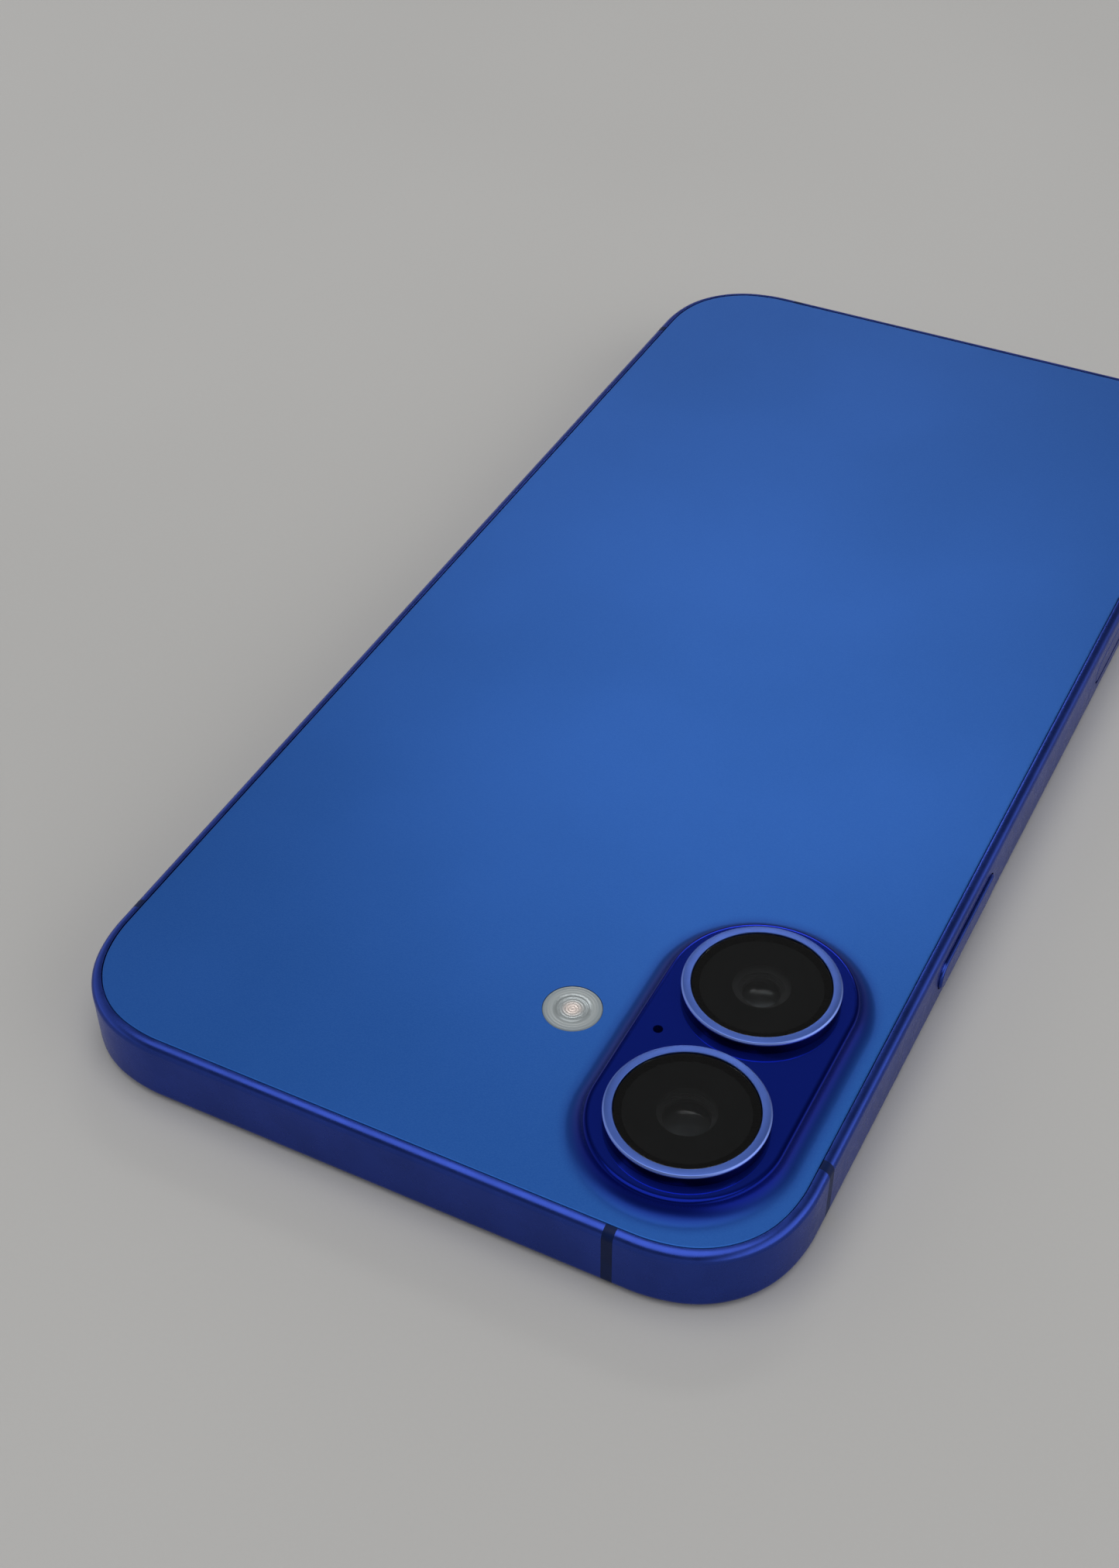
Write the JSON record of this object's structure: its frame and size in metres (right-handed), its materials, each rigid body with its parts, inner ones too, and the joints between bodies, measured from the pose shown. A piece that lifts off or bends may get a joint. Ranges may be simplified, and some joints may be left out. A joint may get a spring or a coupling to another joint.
{
  "type": "smartphone",
  "caption": "Slim smartphone, back up: anodised side band, glass front and back, raised camera plateau with ringed lenses, pressing keys, sliding card tray and a fitted interior.",
  "frame": {"origin": "centre of the display glass's outer face, which is the bottom of the bounding box", "axes": "+Z out of the back, from the display to the cameras; +Y to the top edge, the end with the cameras; +X to the side with the volume keys and card tray"},
  "size_m": [0.0786, 0.1608, 0.0108],
  "materials": {
    "anodised_blue": "satin anodised violet-blue",
    "ring_blue": "satin anodised lilac-blue",
    "break_blue": "matt moulded plastic, dark blue",
    "back_blue": "matt blue over the back, glossy deep blue on the camera plateau",
    "front_black": "polished black",
    "cover_glass": "polished clear over dark optics",
    "optic_glass": "coated lens glass",
    "diffuser": "ribbed translucent plastic",
    "emitter": "pale reflector with phosphor",
    "panel_black": "glossy panel",
    "barrel_black": "matt black",
    "plastic_black": "matt black moulding",
    "seal_black": "adhesive foam seal",
    "steel": "pressed sheet",
    "housing_metal": "plain die-cast",
    "sensor": "dark image sensor",
    "brass": "plated can",
    "gold": "gold-plated contacts",
    "copper": "enamelled copper winding",
    "flex": "amber flexible circuit",
    "board": "dark green circuit board",
    "chip": "moulded chips",
    "battery": "black laminate pouch",
    "tape": "white stretch tape",
    "ferrite": "grey ferrite sheet",
    "magnet": "nickel-plated magnet",
    "haptic_metal": "sintered heavy metal",
    "speaker_black": "black moulding",
    "cone": "soft membrane",
    "mesh": "dark woven mesh",
    "switch": "pale switch bodies",
    "black_part": "black housings"
  },
  "bodies": {
    "handset": {"frame": "anodised_blue", "antenna_breaks": "break_blue", "back_glass": "back_blue", "back_seal": "seal_black", "display_glass": "front_black", "display_panel": "panel_black", "display_seal": "seal_black", "earpiece_mesh": "mesh", "main_lens_ring": "ring_blue", "wide_lens_ring": "ring_blue", "main_lens_cover": "cover_glass", "wide_lens_cover": "cover_glass", "main_camera_housing": "housing_metal", "wide_camera_housing": "housing_metal", "camera_sensors": "sensor", "camera_bracket": "steel", "flash_lens": "diffuser", "flash_module": "emitter", "rear_microphone": "brass", "front_camera": "black_part", "face_sensor": "black_part", "earpiece_speaker": "speaker_black", "key_switches": "switch", "key_flexes": "flex", "key_braces": "steel", "sim_reader": "steel", "battery": "battery", "battery_tape": "tape", "battery_flex": "flex", "logic_board": "board", "board_chips": "chip", "board_shields": "steel", "display_flex": "flex", "charging_coil": "copper", "coil_shield": "ferrite", "alignment_magnets": "magnet", "haptic_case": "steel", "loudspeaker": "speaker_black", "speaker_cone": "cone", "sound_meshes": "mesh", "bottom_microphones": "brass", "usb_shell": "steel", "usb_tongue": "plastic_black", "usb_contacts": "gold", "usb_body": "plastic_black", "dock_flex": "flex", "antenna_carrier": "plastic_black", "foot_screws": "anodised_blue", "inner_screws": "steel"},
    "side_key": {"side_key": "anodised_blue"},
    "camera_control": {"camera_control": "anodised_blue"},
    "action_key": {"action_key": "anodised_blue"},
    "volume_up_key": {"volume_up_key": "anodised_blue"},
    "volume_down_key": {"volume_down_key": "anodised_blue"},
    "main_lens": {"main_lens_barrel": "barrel_black", "main_lens_elements": "optic_glass"},
    "wide_lens": {"wide_lens_barrel": "barrel_black", "wide_lens_elements": "optic_glass"},
    "haptic_mass": {"haptic_mass": "haptic_metal"},
    "sim_tray": {"sim_tray": "anodised_blue"}
  },
  "joints": [
    {"name": "side_key_press", "type": "slide", "parent": "handset", "child": "side_key", "axis": [1, 0, 0], "range_m": [0, 0.00025], "stiffness_N_per_m": 6000},
    {"name": "camera_control_press", "type": "slide", "parent": "handset", "child": "camera_control", "axis": [1, 0, 0], "range_m": [0, 0.00015], "stiffness_N_per_m": 8000},
    {"name": "action_key_press", "type": "slide", "parent": "handset", "child": "action_key", "axis": [-1, 0, 0], "range_m": [0, 0.00025], "stiffness_N_per_m": 6000},
    {"name": "volume_up_key_press", "type": "slide", "parent": "handset", "child": "volume_up_key", "axis": [-1, 0, 0], "range_m": [0, 0.00025], "stiffness_N_per_m": 6000},
    {"name": "volume_down_key_press", "type": "slide", "parent": "handset", "child": "volume_down_key", "axis": [-1, 0, 0], "range_m": [0, 0.00025], "stiffness_N_per_m": 6000},
    {"name": "main_lens_focus", "type": "slide", "parent": "handset", "child": "main_lens", "axis": [0, 0, 1], "range_m": [0, 0.0003], "stiffness_N_per_m": 58},
    {"name": "wide_lens_focus", "type": "slide", "parent": "handset", "child": "wide_lens", "axis": [0, 0, 1], "range_m": [0, 0.0003], "stiffness_N_per_m": 45},
    {"name": "haptic_slide", "type": "slide", "parent": "handset", "child": "haptic_mass", "axis": [1, 0, 0], "range_m": [-0.0004, 0.0004], "stiffness_N_per_m": 5300},
    {"name": "sim_tray_slide", "type": "slide", "parent": "handset", "child": "sim_tray", "axis": [1, 0, 0], "range_m": [0, 0.0125]}
  ]
}
